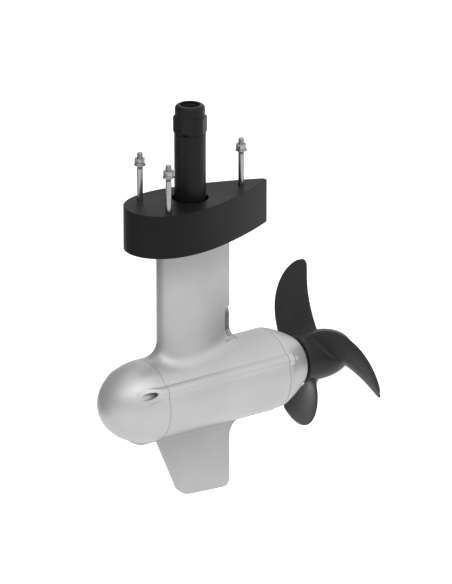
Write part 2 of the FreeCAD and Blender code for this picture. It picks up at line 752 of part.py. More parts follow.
def blade_section(r, span):
    """Closed curve of the blade on a cylinder of radius r. span runs from 0
    near the hub to 1 at the tip."""
    skew = math.radians(65.7 * span - 60.0 * span ** 2 + 42.3 * span ** 3)
    rake = -12.0 * span + 4.0 * span ** 2
    pitch = blade_pitch * (1 + 0.072 * span) / (2 * math.pi)
    chord = (58.7 + 27.9 * span + 11.6 * span ** 2) * math.sqrt(max(0.0, 1 - abs(span) ** 3))
    slope = math.atan2(pitch, r)
    reach = chord * math.cos(slope) / (2 * r)
    thick = blade_root_t + (blade_tip_t - blade_root_t) * max(0.0, span) ** 0.8
    near = min(1.0, max(0.0, 1 - (r - hub_r) / 9.0))
    thick = min(thick, 0.16 * chord) + blade_root_flare * near ** 2
    edges = []
    count = 12
    for side in (1, -1):
        points = []
        for k in range(count + 1):
            s = -math.cos(math.pi * k / count)
            bulge = math.sqrt(1 - s * s) * (1 - 0.18 * s)
            off = -blade_camber * (1 - s * s) - thick / 2 * side * bulge
            turn = skew + reach * s - off * math.sin(slope) / r
            x = blade_root_x + rake + pitch * (skew + reach * s) + off * math.cos(slope)
            angle = math.radians(blade_root_angle) + turn
            points.append(V(x, -r * math.sin(angle), axis_z + r * math.cos(angle)))
        if side < 0:
            points.reverse()
        curve = Part.BSplineCurve()
        curve.interpolate(points)
        edges.append(curve.toShape())
    return Part.Wire(edges)


def make_blade():
    spans = (-0.07, 0.0, 0.05, 0.10, 0.17, 0.28, 0.42, 0.56, 0.70, 0.82, 0.91, 0.96, 0.985, 0.997)
    wires = [blade_section(blade_base_r + (prop_r - blade_base_r) * s, s) for s in spans]
    faces = list(Part.makeLoft(wires, False, False).Faces)
    for end in (wires[0], wires[-1]):
        faces.append(Part.makeRuledSurface(end.Edges[0], end.Edges[1]))
    shell = Part.makeShell(faces)
    shell.sewShape()
    solid = Part.makeSolid(Part.Shell(shell.Faces))
    if solid.Volume < 0:
        solid.reverse()
    return solid


def hub_outline():
    points = [(hub_front_x + 1.0, hub_front_r), (hub_full_x - 12, hub_r - 0.1)]
    steps = 8
    far = (hub_end_x - hub_full_x) / hub_dome_len
    for k in range(steps + 1):
        s = far * math.sin(math.pi / 2 * k / steps)
        points.append((hub_full_x + hub_dome_len * s, hub_r * math.sqrt(1 - s * s)))
    return points


def make_propeller():
    curve = hub_outline()
    outline = [(hub_front_x, 0.0), (hub_front_x, hub_front_r - 1.0)] + curve + [(hub_end_x, 0.0)]
    hub = lathe(outline, [(2, 2 + len(curve) - 1)])
    blade = make_blade()
    body = hub
    for k in range(blade_count):
        turned = blade.copy()
        turned.rotate(CENTRE, X, 360.0 / blade_count * k)
        body = body.fuse(turned)
    seat = shaft_shoulder_x + thrust_washer_t
    body = body.cut(rod_x(shaft_prop_r + shaft_fit, seat - 1, hub_end_x + 1))
    body = body.cut(rod_x(thrust_washer_r + 1.0, hub_front_x - 1, seat))
    body = body.cut(rod_x(hub_recess_r, shaft_prop_end_x, hub_end_x + 1))
    half = drive_pin_len / 2 + 0.6
    wide = drive_pin_r + 0.15
    slot = Part.makeBox(drive_pin_x + wide - seat + 1, 2 * wide, 2 * half, V(seat - 1, -wide, axis_z - half))
    return body.cut(slot)


def make_thrust_washer():
    x0 = shaft_shoulder_x
    return ring_x(thrust_washer_r, shaft_prop_r + 0.1, x0, x0 + thrust_washer_t)


def make_drive_pin():
    pin = Part.makeCylinder(drive_pin_r, drive_pin_len, V(drive_pin_x, 0, axis_z - drive_pin_len / 2), Z)
    return pin.makeChamfer(0.6, [e for e in pin.Edges if e.Length < 25 and e.BoundBox.ZLength < 0.01])


def make_prop_washer():
    x0 = shaft_prop_end_x
    return ring_x(hub_recess_r - 0.6, shaft_thread_r + 0.3, x0, x0 + prop_washer_t)


def split_pin_x():
    return shaft_prop_end_x + prop_washer_t + prop_nut_h - prop_nut_slot_h + split_pin_r + 0.7


def make_prop_nut():
    x0 = shaft_prop_end_x + prop_washer_t
    body = hexagon(prop_nut_af, X, V(x0, 0, axis_z), prop_nut_h - prop_nut_slot_h)
    crown = rod_x(prop_nut_af / 2 - 0.6, x0, x0 + prop_nut_h)
    body = body.fuse(crown).removeSplitter().cut(rod_x(shaft_thread_r + 0.05, x0 - 1, x0 + prop_nut_h + 1))
    for k in range(3):
        slot = Part.makeBox(prop_nut_slot_h + 1, prop_nut_slot_w, 40,
                            V(x0 + prop_nut_h - prop_nut_slot_h, -prop_nut_slot_w / 2, axis_z - 20))
        slot.rotate(CENTRE, X, 60 * k)
        body = body.cut(slot)
    return body


def make_split_pin():
    x0 = split_pin_x()
    reach = 10.6
    pin = Part.makeCylinder(split_pin_r, 2 * reach, V(x0, 0, axis_z - reach), Z)
    heads = [Part.makeSphere(split_pin_r * 1.25, V(x0, 0, axis_z + s * (reach - 0.4))) for s in (-1, 1)]
    return fuse([pin] + heads)


def anode_axis():
    """The anode's screw goes in from the side, sloping down into the barrel."""
    return V(0, -math.sqrt(0.5), math.sqrt(0.5))


def anode_slope_z():
    return anode_floor_z + anode_foot_h + anode_face_y - anode_foot_y


def anode_screw_seat():
    """Point under the screw's head, a little below the foot's sloping face."""
    y = (anode_face_y + anode_foot_y) / 2 + 1.2
    return V(anode_screw_x, y, anode_slope_z() + y - anode_face_y) - anode_axis() * 1.2


def make_anode():
    """Zinc block in the notch: flush with the strut's tail and its blend, thinner
    than the strut, with a sloping foot that holds the screw."""
    block = make_strut_on_barrel().common(anode_room(anode_gap))
    x0 = anode_front_x
    top = anode_top_z - anode_gap
    slope = anode_slope_z()
    bend = V(x0, anode_face_y + 0.9, top - 6.0)
    points = [V(x0, anode_back_y, anode_floor_z), V(x0, anode_back_y, top), V(x0, anode_back_y - 1.5, top),
              V(x0, anode_face_y, top - 16.0), V(x0, anode_face_y, slope),
              V(x0, anode_foot_y, anode_floor_z + anode_foot_h), V(x0, anode_foot_y, anode_floor_z)]
    edges = []
    for k, place in enumerate(points):
        far = points[(k + 1) % len(points)]
        edges.append(Part.Arc(place, bend, far).toShape() if k == 2 else Part.makeLine(place, far))
    side = Part.Face(Part.Wire(edges)).extrude(V(anode_end_x - x0, 0, 0))
    body = block.common(side)
    seat = anode_screw_seat()
    axis = anode_axis()
    body = body.cut(Part.makeCylinder(anode_screw_r + 0.2, 2 * anode_screw_len, seat - axis * anode_screw_len, axis))
    return body.cut(Part.makeCylinder(anode_head_r + 0.3, 20, seat, axis))


def make_anode_screw():
    seat = anode_screw_seat()
    axis = anode_axis()
    head = Part.makeCylinder(anode_head_r, 2.2, seat, axis)
    head = head.makeFillet(0.6, [e for e in head.Edges if e.BoundBox.Center.z > seat.z + 1.4 and e.Closed])
    shank = Part.makeCylinder(anode_screw_r, anode_screw_len, seat - axis * anode_screw_len, axis)
    socket = Part.makeCylinder(1.3, 2, seat + axis * 0.9, axis)
    return head.fuse(shank).removeSplitter().cut(socket)


def post_places():
    return [polar(post_circle_r, 360 / post_count * k) for k in range(post_count)]


def make_posts():
    posts = []
    for y, z in post_places():
        post = rod_x(post_r, board_x + board_t, bulkhead_front_x, y, z)
        posts.append(post.cut(rod_x(post_hole_r, board_x, bulkhead_front_x + 1, y, z)))
    return Part.makeCompound(posts)


def make_board():
    body = rod_x(board_r, board_x, board_x + board_t)
    for y, z in post_places():
        body = body.cut(rod_x(post_hole_r, board_x - 1, board_x + board_t + 1, y, z))
    return body.cut(rod_x(9.0, board_x - 1, board_x + board_t + 1, 0, axis_z + board_r))


def make_board_screws():
    screws = []
    for y, z in post_places():
        shank = rod_x(post_screw_r, board_x, bulkhead_front_x + 7, y, z)
        head = rod_x(2.8, board_x - 2.4, board_x, y, z)
        socket = hexagon(2.5, X, V(board_x - 2.5, y, z), 1.4)
        screws.append(shank.fuse(head).removeSplitter().cut(socket))
    return Part.makeCompound(screws)


def make_capacitors():
    cans = []
    for k in range(5):
        y, z = polar(post_circle_r - 14.5, 36 + 72 * k + 90)
        can = rod_x(7.5, board_x - 25, board_x, y, z)
        cans.append(can.makeFillet(1.0, [e for e in can.Edges if abs(e.BoundBox.Center.x - board_x + 25) < 0.01]))
    return Part.makeCompound(cans)


def make_transistors():
    blocks = []
    for k in range(6):
        block = Part.makeBox(5.0, 15.0, 18.0, V(bulkhead_front_x - 5.0, -7.5, axis_z + 21.0))
        block.rotate(CENTRE, X, 60 * k)
        blocks.append(block)
    return Part.makeCompound(blocks)


save(make_spacer(), "spacer_block")
save(make_housing(), "motor_housing")
save(make_nose(), "nose_cap")
save(make_tail(), "tail_cap")
save(cap_screws(nose_seat_x, -1), "nose_cap_screws")
save(cap_screws(tail_seat_x, 1), "tail_cap_screws")
cap_ring_r = pod_r - pod_wall - spigot_gap - 2.2 + 1.2
save(turned_groove(front_seam_x + 4.5, cap_ring_r, 1.16), "nose_o_ring")
save(turned_groove(rear_seam_x - 4.5, cap_ring_r, 1.16), "tail_o_ring")
save(make_studs(), "hull_studs")
save(stud_rings(washer_r, stud_r + washer_gap, washer_z, washer_h), "stud_washers")
save(stud_rings(spring_washer_r, stud_r + washer_gap, washer_z + washer_h, spring_washer_h, 1.2),
     "stud_spring_washers")
save(make_stud_nuts(), "stud_nuts")
save(make_tube(), "cable_tube")
save(ring_about_z(tube_r - 1.08, 1.1, tube_ring_z), "tube_o_ring")
save(make_gland_body(), "gland_body")
save(make_dome_nut(), "gland_dome_nut")
save(make_gland_seal(), "gland_seal")
save(make_anode(), "strut_anode")
save(make_anode_screw(), "anode_screw")
save(make_stator_core(), "stator_core")
save(make_windings(), "stator_windings")
save(snap_ring(pod_r - pod_wall + 1.4, pod_r - pod_wall - 3.0, stator_x + stator_len + 0.02, 14.0),
     "stator_snap_ring")
save(bearing_race(front_bearing, True), "front_bearing_outer_race")
save(bearing_race(front_bearing, False), "front_bearing_inner_race")
save(bearing_balls(front_bearing), "front_bearing_balls")
save(bearing_cage(front_bearing), "front_bearing_cage")
save(bearing_race(rear_bearing, True), "rear_bearing_outer_race")
save(bearing_race(rear_bearing, False), "rear_bearing_inner_race")
save(bearing_balls(rear_bearing), "rear_bearing_balls")
save(bearing_cage(rear_bearing), "rear_bearing_cage")
save(make_seals(), "shaft_seals")
save(make_shaft(), "propeller_shaft")
save(make_rotor_core(), "rotor_core")
save(make_magnets(), "rotor_magnets")
save(snap_ring(shaft_mid_r + 2.5, shaft_mid_r - 0.95, rotor_x - snap_ring_t + 0.05, 8.0), "rotor_snap_ring")
save(make_thrust_washer(), "thrust_washer")
save(make_drive_pin(), "drive_pin")
save(make_propeller(), "propeller")
save(make_prop_washer(), "propeller_washer")
save(make_prop_nut(), "propeller_nut")
save(make_split_pin(), "split_pin")
save(make_board(), "controller_board")
save(make_posts(), "board_posts")
save(make_board_screws(), "board_screws")
save(make_capacitors(), "board_capacitors")
save(make_transistors(), "power_transistors")
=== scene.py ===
import bpy
import math
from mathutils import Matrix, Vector


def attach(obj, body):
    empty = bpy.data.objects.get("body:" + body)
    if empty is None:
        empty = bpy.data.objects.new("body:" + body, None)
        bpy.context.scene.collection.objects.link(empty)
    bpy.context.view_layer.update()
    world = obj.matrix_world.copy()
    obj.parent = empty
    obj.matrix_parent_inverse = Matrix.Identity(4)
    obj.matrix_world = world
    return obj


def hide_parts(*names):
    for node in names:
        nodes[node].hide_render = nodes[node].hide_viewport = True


# Electric pod drive: strut, skeg and motor pod in blasted aluminium, black hull
# spacer, cable tube and gland, bright studs, charcoal propeller.
# Metres, +Z up, +X aft. The cable tube is the Z axis.

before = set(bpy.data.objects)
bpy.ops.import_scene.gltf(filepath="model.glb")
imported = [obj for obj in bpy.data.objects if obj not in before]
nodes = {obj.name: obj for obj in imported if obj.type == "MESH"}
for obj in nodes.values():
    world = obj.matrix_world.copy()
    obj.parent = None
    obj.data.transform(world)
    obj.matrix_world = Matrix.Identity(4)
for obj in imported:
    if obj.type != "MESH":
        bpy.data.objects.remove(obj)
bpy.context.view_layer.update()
scene = bpy.context.scene
scene.view_settings.view_transform = "Standard"
print("frame loaded:", len(nodes), "nodes")

# the motor's axis and the seams of its two caps
podAxisZ = -0.2743
frontSeamX = -0.0745
rearSeamX = 0.1285

# points nearer than this are one: after a cut, and on a form that was turned
cutGap = 0.000003
turnGap = 0.000005


def deselectAll():
    if bpy.context.object and bpy.context.object.mode != "OBJECT":
        bpy.ops.object.mode_set(mode="OBJECT")
    bpy.ops.object.select_all(action="DESELECT")


def makeActive(piece):
    deselectAll()
    piece.select_set(True)
    bpy.context.view_layer.objects.active = piece
    return piece


def newest(name):
    piece = bpy.context.active_object
    piece.name = name
    piece.data.name = name
    return piece


def applyPlace(piece):
    makeActive(piece)
    bpy.ops.object.transform_apply(location=True, rotation=True, scale=True)
    return piece


def startEdit(piece, mode):
    makeActive(piece)
    bpy.ops.object.mode_set(mode="EDIT")
    bpy.ops.mesh.select_mode(type=mode)
    bpy.ops.mesh.select_all(action="DESELECT")
    bpy.ops.object.mode_set(mode="OBJECT")


def endEdit():
    bpy.ops.object.mode_set(mode="OBJECT")


# picked by the middle and normal of a face, the ends of an edge or the place of a point
def pickFaces(piece, wanted):
    startEdit(piece, "FACE")
    for face in piece.data.polygons:
        face.select = wanted(face.center, face.normal)
    bpy.ops.object.mode_set(mode="EDIT")


def pickEdges(piece, wanted):
    startEdit(piece, "EDGE")
    points = piece.data.vertices
    for edge in piece.data.edges:
        edge.select = wanted(points[edge.vertices[0]].co, points[edge.vertices[1]].co)
    bpy.ops.object.mode_set(mode="EDIT")


def pickPoints(piece, wanted):
    startEdit(piece, "VERT")
    for point in piece.data.vertices:
        point.select = wanted(point.co)
    bpy.ops.object.mode_set(mode="EDIT")


def cleanMesh(piece):
    startEdit(piece, "VERT")
    bpy.ops.object.mode_set(mode="EDIT")
    bpy.ops.mesh.select_all(action="SELECT")
    bpy.ops.mesh.remove_doubles(threshold=cutGap)
    bpy.ops.mesh.normals_make_consistent(inside=False)
    endEdit()


def carve(piece, tool, how="DIFFERENCE"):
    modifier = piece.modifiers.new("carve", "BOOLEAN")
    modifier.operation = how
    modifier.solver = "EXACT"
    modifier.object = tool
    makeActive(piece)
    bpy.ops.object.modifier_apply(modifier=modifier.name)
    bpy.data.objects.remove(tool)
    return piece


def easeEdges(piece, width, angle, segments):
    modifier = piece.modifiers.new("ease", "BEVEL")
    modifier.width = width
    modifier.segments = segments
    modifier.limit_method = "ANGLE"
    modifier.angle_limit = math.radians(angle)
    makeActive(piece)
    bpy.ops.object.modifier_apply(modifier=modifier.name)
    return piece


def smoothBy(piece, angle):
    makeActive(piece)
    bpy.ops.object.shade_smooth_by_angle(angle=math.radians(angle))
    return piece


def copyAt(piece, x, y):
    makeActive(piece)
    bpy.ops.object.duplicate(linked=False)
    twin = bpy.context.active_object
    twin.location = (x, y, 0)
    return applyPlace(twin)


def radiusOf(place):
    return math.hypot(place.x, place.y)


# camera: long lens, from ahead of the port side and above
cameraView = {"azimuth": -36.8, "elevation": 20.2, "distance": 8.174, "lens": 376.03,
              "right": 0.04804, "up": -0.12703, "clipEnd": 60}


# the way from the part to a place round it; azimuth 0 lies at -Y, to port
def wayOut(azimuth, elevation):
    a = math.radians(azimuth)
    e = math.radians(elevation)
    return Vector((math.sin(a) * math.cos(e), -math.cos(a) * math.cos(e), math.sin(e)))


def makeCamera(view):
    a = math.radians(view["azimuth"])
    back = wayOut(view["azimuth"], view["elevation"])
    right = Vector((math.cos(a), math.sin(a), 0))
    up = back.cross(right)
    place = back * view["distance"] + right * view["right"] + up * view["up"]
    bpy.ops.object.camera_add(location=place)
    eye = bpy.context.active_object
    eye.name = "camera"
    eye.rotation_euler = (-back).to_track_quat("-Z", "Y").to_euler()
    eye.data.lens = view["lens"]
    eye.data.clip_end = view["clipEnd"]
    scene.camera = eye


makeCamera(cameraView)
print("camera set")


# small helpers for shader trees
def feed(tree, socket, value):
    if isinstance(value, bpy.types.NodeSocket):
        tree.links.new(value, socket)
    else:
        socket.default_value = value


def put(tree, kind, look=None, order=(), **inputs):
    node = tree.nodes.new(kind)
    for key, value in (look or {}).items():
        setattr(node, key, value)
    for k, value in enumerate(order):
        feed(tree, node.inputs[k], value)
    for key, value in inputs.items():
        feed(tree, node.inputs[key.replace("_", " ")], value)
    return node


def sums(tree, kind, *values):
    return put(tree, "ShaderNodeMath", {"operation": kind}, values).outputs[0]


def spread(tree, value, low, high, toLow, toHigh, soft=False):
    look = {"interpolation_type": "SMOOTHSTEP" if soft else "LINEAR"}
    return put(tree, "ShaderNodeMapRange", look, (value, low, high, toLow, toHigh)).outputs[0]


# the colour sockets of the mix node carry the same names as its others, so they go by number
def blendColours(tree, share, first, second):
    node = tree.nodes.new("ShaderNodeMix")
    node.data_type = "RGBA"
    feed(tree, node.inputs[0], share)
    feed(tree, node.inputs[6], first)
    feed(tree, node.inputs[7], second)
    return node.outputs[2]


# two tones added by share, the second taking what the first leaves
def addTones(tree, share, first, second):
    return sums(tree, "ADD", sums(tree, "MULTIPLY", first, share),
                sums(tree, "MULTIPLY", second, round(1 - share, 6)))


def grey(value, warm=0.0):
    return (value * (1 + warm), value, value * (1 - warm), 1)


def newGroup(name, inputs, outputs):
    group = bpy.data.node_groups.new(name, "ShaderNodeTree")
    for label, kind, value in inputs:
        socket = group.interface.new_socket(label, in_out="INPUT", socket_type=kind)
        if value is not None:
            socket.default_value = value
    for label in outputs:
        group.interface.new_socket(label, in_out="OUTPUT", socket_type="NodeSocketFloat")
    start = group.nodes.new("NodeGroupInput")
    end = group.nodes.new("NodeGroupOutput")
    return group, start, end


# grain of a blasted or moulded skin, with slow cloudy tone under it
skinForm = {"detail": 3.0, "rough": 0.6, "pitScale": 0.6, "pitSmooth": 0.8, "fineShare": 0.6,
            "cloudDetail": 4.0, "cloudRough": 0.55,
            "grainSpan": (0.3, 0.7), "cloudSpan": (0.32, 0.68)}


def makeSkinGroup(form):
    group, start, end = newGroup("skin", [("Place", "NodeSocketVector", None),
                                          ("Grain", "NodeSocketFloat", 1500.0),
                                          ("Cloud", "NodeSocketFloat", 20.0)],
                                 ["Height", "Grain Tone", "Cloud Tone"])
    place = start.outputs["Place"]
    grain = start.outputs["Grain"]
    fine = put(group, "ShaderNodeTexNoise", Vector=place, Scale=grain, Detail=form["detail"],
               Roughness=form["rough"]).outputs[0]
    pits = put(group, "ShaderNodeTexVoronoi", {"feature": "SMOOTH_F1"}, Vector=place,
               Scale=sums(group, "MULTIPLY", grain, form["pitScale"]),
               Smoothness=form["pitSmooth"]).outputs[0]
    cloud = put(group, "ShaderNodeTexNoise", Vector=place, Scale=start.outputs["Cloud"],
                Detail=form["cloudDetail"], Roughness=form["cloudRough"]).outputs[0]
    feed(group, end.inputs["Height"], addTones(group, form["fineShare"], fine, pits))
    feed(group, end.inputs["Grain Tone"], spread(group, fine, *form["grainSpan"], 0.0, 1.0))
    feed(group, end.inputs["Cloud Tone"], spread(group, cloud, *form["cloudSpan"], 0.0, 1.0))
    return group


# fine parallel lines of turning, drawing or rolling: a count per metre along each axis
linesForm = {"detail": 2.0, "rough": 0.7, "span": (0.3, 0.7)}


def makeLinesGroup(form):
    group, start, end = newGroup("lines", [("Place", "NodeSocketVector", None),
                                           ("Count", "NodeSocketVector", (40.0, 40.0, 3000.0))],
                                 ["Height", "Tone"])
    stretched = put(group, "ShaderNodeVectorMath", {"operation": "MULTIPLY"},
                    (start.outputs["Place"], start.outputs["Count"])).outputs[0]
    fine = put(group, "ShaderNodeTexNoise", Vector=stretched, Scale=1.0, Detail=form["detail"],
               Roughness=form["rough"]).outputs[0]
    feed(group, end.inputs["Height"], fine)
    feed(group, end.inputs["Tone"], spread(group, fine, *form["span"], 0.0, 1.0))
    return group


# mask of a thin line where one coordinate has a given value, full inside and fading at its edge
hairlineForm = {"fade": (0.5, 1.3)}


def makeHairlineGroup(form):
    group, start, end = newGroup("hairline", [("Along", "NodeSocketFloat", 0.0),
                                              ("At", "NodeSocketFloat", 0.0),
                                              ("Half Width", "NodeSocketFloat", 0.0003)], ["Mask"])
    away = sums(group, "SUBTRACT", start.outputs["Along"], start.outputs["At"])
    share = sums(group, "DIVIDE", sums(group, "ABSOLUTE", away), start.outputs["Half Width"])
    feed(group, end.inputs["Mask"], spread(group, share, *form["fade"], 1.0, 0.0, True))
    return group


skinGroup = makeSkinGroup(skinForm)
linesGroup = makeLinesGroup(linesForm)
hairlineGroup = makeHairlineGroup(hairlineForm)


def useGroup(tree, group, **inputs):
    node = tree.nodes.new("ShaderNodeGroup")
    node.node_tree = group
    for key, value in inputs.items():
        feed(tree, node.inputs[key.replace("_", " ")], value)
    return node


def newMaterial(name, **plain):
    material = bpy.data.materials.new(name)
    material.use_nodes = True
    tree = material.node_tree
    shader = tree.nodes["Principled BSDF"]
    for key, value in plain.items():
        shader.inputs[key.replace("_", " ")].default_value = value
    place = put(tree, "ShaderNodeTexCoord").outputs["Object"]
    return material, tree, shader, place


# a light tone is smooth and a dark one rough, and the height of the skin is a bump
def endMaterial(tree, shader, tone, colour, rough, height, depth):
    feed(tree, shader.inputs["Base Color"], colour)
    feed(tree, shader.inputs["Roughness"], spread(tree, tone, 0.0, 1.0, rough[1], rough[0]))
    bump = put(tree, "ShaderNodeBump", Strength=1.0, Distance=depth, Height=height)
    feed(tree, shader.inputs["Normal"], bump.outputs[0])


# a plain skin: tone from grain and cloud
skinGrainShare = 0.35


def makeSkin(name, dark, light, rough, grain, cloud, depth, **plain):
    material, tree, shader, place = newMaterial(name, **plain)
    skin = useGroup(tree, skinGroup, Place=place, Grain=grain, Cloud=cloud)
    tone = addTones(tree, skinGrainShare, skin.outputs["Grain Tone"], skin.outputs["Cloud Tone"])
    endMaterial(tree, shader, tone, blendColours(tree, tone, dark, light), rough,
                skin.outputs["Height"], depth)
    return material


# bright or dull, with the lines of its making
linedForm = {"grain": 900.0, "cloud": 60.0, "lineShare": 0.6}


def makeLined(name, dark, light, rough, count, depth, **plain):
    material, tree, shader, place = newMaterial(name, **plain)
    lines = useGroup(tree, linesGroup, Place=place, Count=count)
    skin = useGroup(tree, skinGroup, Place=place, Grain=linedForm["grain"],
                    Cloud=linedForm["cloud"])
    tone = addTones(tree, linedForm["lineShare"], lines.outputs["Tone"], skin.outputs["Cloud Tone"])
    endMaterial(tree, shader, tone, blendColours(tree, tone, dark, light), rough,
                lines.outputs["Height"], depth)
    return material


# blasted aluminium, with painted shade by height: from a height to one above it the tone goes from
# one value to another;
# seamRise: how far above the motor's axis the seams end; marks: where the painted dark line of a
# faint crease runs along X
castLook = {"dark": grey(0.50), "light": grey(0.55), "rough": (0.42, 0.50), "metallic": 0.7,
            "grain": 1400.0, "cloud": 14.0, "grainShare": 0.4, "depth": 0.00004,
            "seam": 0.00035, "seamTone": 0.22, "seamRise": (0.066, 0.067),
            "paintedShades": [(-0.219, -0.210, 1.0, 0.83), (-0.194, -0.168, 1.0, 1.085),
                       (-0.128, -0.080, 1.0, 0.82)],
            "skegPaintedShade": 0.72, "skegEnd": 0.90,
            "skegFrom": -0.325, "skegTop": -0.340, "skegFoot": -0.420,
            "markZ": -0.1660, "markHalf": 0.0003, "creaseShadeTone": 0.72,
            "marks": [(-0.0275, 0.0135), (-0.0660, -0.0530)]}
# tail cap: the same cast aluminium, made less metallic so it shows no reflection of the propeller,
# and painted lighter in place of the light it no longer reflects
capLook = dict(castLook, dark=grey(0.58), light=grey(0.64), metallic=0.3)


def makeCastAluminium(name, look):
    material, tree, shader, place = newMaterial(name, Metallic=look["metallic"])
    skin = useGroup(tree, skinGroup, Place=place, Grain=look["grain"], Cloud=look["cloud"])
    split = put(tree, "ShaderNodeSeparateXYZ", Vector=place).outputs
    across, height = split["X"], split["Z"]

    def hairline(along, at, halfWidth):
        return useGroup(tree, hairlineGroup, Along=along, At=at, Half_Width=halfWidth).outputs[0]

    seams = sums(tree, "MAXIMUM", hairline(across, frontSeamX, look["seam"]),
                 hairline(across, rearSeamX, look["seam"]))
    low, high = look["seamRise"]
    below = spread(tree, height, podAxisZ + low, podAxisZ + high, 1.0, 0.0)
    seams = sums(tree, "MULTIPLY", seams, below)
    tone = addTones(tree, look["grainShare"], skin.outputs["Grain Tone"],
                    skin.outputs["Cloud Tone"])
    # painted shade: the strut is darker under the hull block and above the barrel, and the skeg
    # below the barrel, where shade falls
    shade = 1.0
    for low, high, toLow, toHigh in look["paintedShades"]:
        shade = sums(tree, "MULTIPLY", shade, spread(tree, height, low, high, toLow, toHigh, True))
    skeg = spread(tree, height, look["skegTop"], look["skegFoot"],
                  look["skegPaintedShade"], look["skegEnd"])
    skeg = sums(tree, "MULTIPLY", sums(tree, "SUBTRACT", skeg, 1.0),
                spread(tree, height, look["skegFrom"], look["skegTop"], 0.0, 1.0, True))
    shade = sums(tree, "MULTIPLY", shade, sums(tree, "ADD", 1.0, skeg))
    # painted shade: a faint dark line along the strut at one height, where the surface turns at a
    # faint crease
    along = 0.0
    for low, high in look["marks"]:
        away = sums(tree, "ABSOLUTE", sums(tree, "SUBTRACT", across, (low + high) / 2))
        piece = spread(tree, away, 0.0, (high - low) / 2, 1.0, 0.0, True)
        along = sums(tree, "ADD", along, piece)
    mark = sums(tree, "MULTIPLY", hairline(height, look["markZ"], look["markHalf"]), along)
    mark = spread(tree, mark, 0.0, 1.0, 1.0, look["creaseShadeTone"])
    metal = blendColours(tree, tone, look["dark"], look["light"])
    metal = put(tree, "ShaderNodeVectorMath", {"operation": "SCALE"}, (metal,),
                Scale=sums(tree, "MULTIPLY", shade, mark)).outputs[0]
    endMaterial(tree, shader, tone, blendColours(tree, seams, metal, grey(look["seamTone"])),
                look["rough"], skin.outputs["Height"], look["depth"])
    return material


# zinc with painted light: a painted highlight at its top and foot, which face up to the light, and
# painted shade along the face in its recess
zincLook = {"dark": grey(0.10), "light": grey(0.46), "rough": (0.40, 0.52), "metallic": 0.8,
            "grain": 900.0, "cloud": 60.0, "cloudShare": 0.2, "depth": 0.00006,
            "top": -0.1665, "topLightFrom": -0.180, "low": -0.199, "foot": -0.206}


def makeZinc(look):
    material, tree, shader, place = newMaterial("zinc", Metallic=look["metallic"])
    skin = useGroup(tree, skinGroup, Place=place, Grain=look["grain"], Cloud=look["cloud"])
    height = put(tree, "ShaderNodeSeparateXYZ", Vector=place).outputs["Z"]
    # painted highlight on the top and the foot, painted shade on the face between them
    above = spread(tree, height, look["topLightFrom"], look["top"], 0.0, 1.0, True)
    below = spread(tree, height, look["foot"], look["low"], 1.0, 0.0, True)
    tone = addTones(tree, look["cloudShare"], skin.outputs["Cloud Tone"],
                    sums(tree, "MAXIMUM", above, below))
    endMaterial(tree, shader, tone, blendColours(tree, tone, look["dark"], look["light"]),
                look["rough"], skin.outputs["Height"], look["depth"])
    return material


castAluminium = makeCastAluminium("castAluminium", castLook)
capAluminiumPaintedLighter = makeCastAluminium("capAluminiumPaintedLighter", capLook)
spacerPlastic = makeSkin("spacerPlastic", dark=grey(0.006), light=grey(0.009), rough=(0.44, 0.52),
                         grain=1100.0, cloud=9.0, depth=0.00003, Specular_IOR_Level=0.15)
tubePlastic = makeLined("tubePlastic", dark=grey(0.005), light=grey(0.008), rough=(0.34, 0.42),
                        count=(1500.0, 1500.0, 12.0), depth=0.00001, Specular_IOR_Level=0.18)
glandPlastic = makeSkin("glandPlastic", dark=grey(0.006), light=grey(0.010), rough=(0.36, 0.46),
                        grain=1300.0, cloud=30.0, depth=0.00002, Specular_IOR_Level=0.18)
rubber = makeSkin("rubber", dark=grey(0.010), light=grey(0.018), rough=(0.55, 0.7),
                  grain=1600.0, cloud=40.0, depth=0.00004)
stainless = makeLined("stainless", dark=grey(0.29, 0.01), light=grey(0.36, 0.01),
                      rough=(0.20, 0.27), count=(60.0, 60.0, 1200.0), depth=0.000002, Metallic=1.0)
zinc = makeZinc(zincLook)
propellerComposite = makeSkin("propellerComposite", dark=grey(0.042), light=grey(0.052),
                              rough=(0.34, 0.42), grain=1000.0, cloud=12.0, depth=0.00004,
                              Specular_IOR_Level=0.12)
shaftSteel = makeLined("shaftSteel", dark=grey(0.50, 0.01), light=grey(0.62, 0.01),
                       rough=(0.18, 0.28), count=(2800.0, 40.0, 40.0), depth=0.00001, Metallic=1.0)
bearingSteel = makeLined("bearingSteel", dark=grey(0.56), light=grey(0.66), rough=(0.10, 0.18),
                         count=(1800.0, 60.0, 60.0), depth=0.000006, Metallic=1.0)
cageBrass = makeSkin("cageBrass", dark=(0.52, 0.34, 0.11, 1), light=(0.66, 0.45, 0.17, 1),
                     rough=(0.25, 0.36), grain=1200.0, cloud=60.0, depth=0.00002, Metallic=1.0)
lamination = makeLined("lamination", dark=grey(0.12), light=grey(0.24), rough=(0.38, 0.52),
                       count=(2000.0, 20.0, 20.0), depth=0.00006, Metallic=0.9)
copper = makeLined("copper", dark=(0.42, 0.15, 0.06, 1), light=(0.66, 0.27, 0.12, 1),
                   rough=(0.26, 0.4), count=(60.0, 900.0, 900.0), depth=0.0001, Metallic=0.9)
magnetNickel = makeSkin("magnetNickel", dark=grey(0.44, 0.02), light=grey(0.56, 0.02),
                        rough=(0.2, 0.32), grain=1500.0, cloud=60.0, depth=0.00001, Metallic=1.0)
boardGreen = makeSkin("boardGreen", dark=(0.012, 0.09, 0.03, 1), light=(0.02, 0.14, 0.05, 1),
                      rough=(0.3, 0.45), grain=500.0, cloud=90.0, depth=0.00003)
canAluminium = makeLined("canAluminium", dark=grey(0.45), light=grey(0.62), rough=(0.22, 0.34),
                         count=(2500.0, 60.0, 60.0), depth=0.00001, Metallic=1.0)
packagePlastic = makeSkin("packagePlastic", dark=grey(0.012), light=grey(0.02), rough=(0.4, 0.55),
                          grain=1800.0, cloud=120.0, depth=0.00003)

